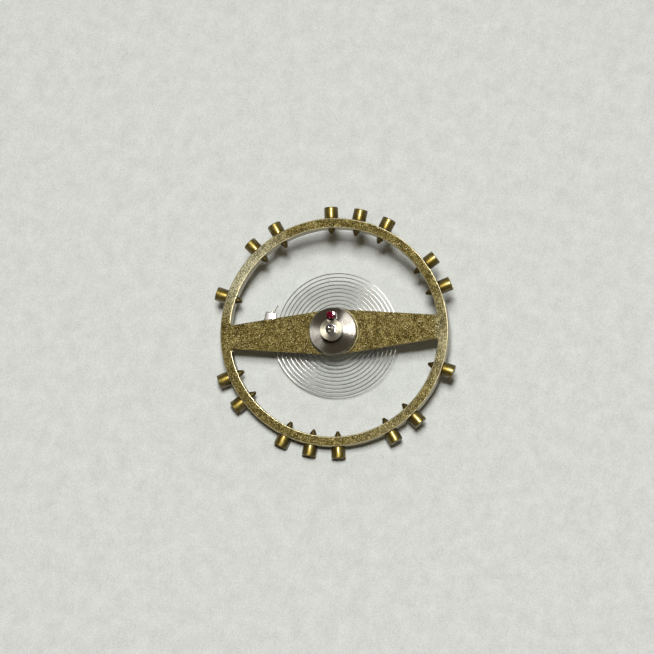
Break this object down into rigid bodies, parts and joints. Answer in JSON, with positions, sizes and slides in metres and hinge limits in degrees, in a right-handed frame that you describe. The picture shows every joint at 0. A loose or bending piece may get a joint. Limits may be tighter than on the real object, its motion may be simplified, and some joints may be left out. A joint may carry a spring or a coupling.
{
  "type": "balance wheel",
  "caption": "Watch balance: a two-armed brass ring with balance screws on a staff with a double roller and impulse jewel, and a flat hairspring with its collet and stud.",
  "frame": {"origin": "tip of the staff's pivot on the hairspring side, on the axis of the staff", "axes": "+Z along the staff towards the roller side, +X from the staff through the impulse jewel, Y along the arms"},
  "size_m": [0.0132, 0.0126, 0.0044],
  "materials": {
    "ring_brass": "fine matt grain, gilt",
    "screw_brass": "turned and bright",
    "staff_steel": "hardened and polished",
    "roller_steel": "mirror polished",
    "safety_roller_steel": "polished",
    "ruby": "polished red jewel",
    "spring_steel": "flat drawn strip",
    "collet_brass": "turned",
    "pin_brass": "drawn and filed",
    "stud_steel": "polished"
  },
  "bodies": {
    "stud": {"hairspring_stud": "stud_steel", "stud_pin": "pin_brass"},
    "balance": {"balance_wheel": "ring_brass", "balance_staff": "staff_steel", "impulse_roller": "roller_steel", "safety_roller": "safety_roller_steel", "impulse_jewel": "ruby", "hairspring": "spring_steel", "collet": "collet_brass", "collet_pin": "pin_brass", "balance_screw_01": "screw_brass", "balance_screw_02": "screw_brass", "balance_screw_03": "screw_brass", "balance_screw_04": "screw_brass", "balance_screw_05": "screw_brass", "balance_screw_06": "screw_brass", "balance_screw_07": "screw_brass", "balance_screw_08": "screw_brass", "balance_screw_09": "screw_brass", "balance_screw_10": "screw_brass", "balance_screw_11": "screw_brass", "balance_screw_12": "screw_brass", "balance_screw_13": "screw_brass", "balance_screw_14": "screw_brass", "balance_screw_15": "screw_brass", "balance_screw_16": "screw_brass"}
  },
  "joints": [
    {"name": "balance_swing", "type": "hinge", "parent": "stud", "child": "balance", "pos_m": [0, 0, 0], "axis": [0, 0, 1], "range_deg": [-300, 300], "stiffness_Nm_per_rad": 0.0000014, "deforming": ["hairspring"]}
  ]
}
